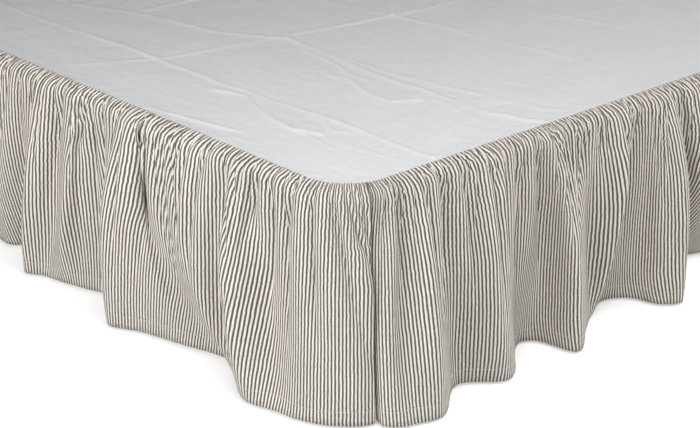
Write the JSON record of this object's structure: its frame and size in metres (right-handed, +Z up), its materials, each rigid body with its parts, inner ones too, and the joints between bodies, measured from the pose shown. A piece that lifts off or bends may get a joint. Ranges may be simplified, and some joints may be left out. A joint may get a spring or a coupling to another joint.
{
  "type": "bed skirt on a bed base",
  "caption": "Gathered striped bed skirt with a flat deck and three hanging ruffles, fitted over a plain bed base on round legs.",
  "frame": {"origin": "on the floor, under the middle of the bed base, at the foot of the centre leg", "axes": "+Z up, +Y towards the head of the bed, +X towards the right side seen from the foot"},
  "size_m": [1.6959, 2.1247, 0.3945],
  "materials": {
    "striped_cloth": "matt woven cotton, narrow slate and cream stripes",
    "deck_cloth": "matt plain white cotton",
    "base_cover": "plain woven cover",
    "leg_wood": "satin stained wood"
  },
  "bodies": {
    "root": {"deck": "deck_cloth", "ruffle_left": "striped_cloth", "ruffle_foot": "striped_cloth", "ruffle_right": "striped_cloth", "bed_base": "base_cover", "leg_foot_left": "leg_wood", "leg_foot_right": "leg_wood", "leg_middle_left": "leg_wood", "leg_middle_right": "leg_wood", "leg_head_left": "leg_wood", "leg_head_right": "leg_wood", "leg_centre": "leg_wood"}
  },
  "joints": []
}
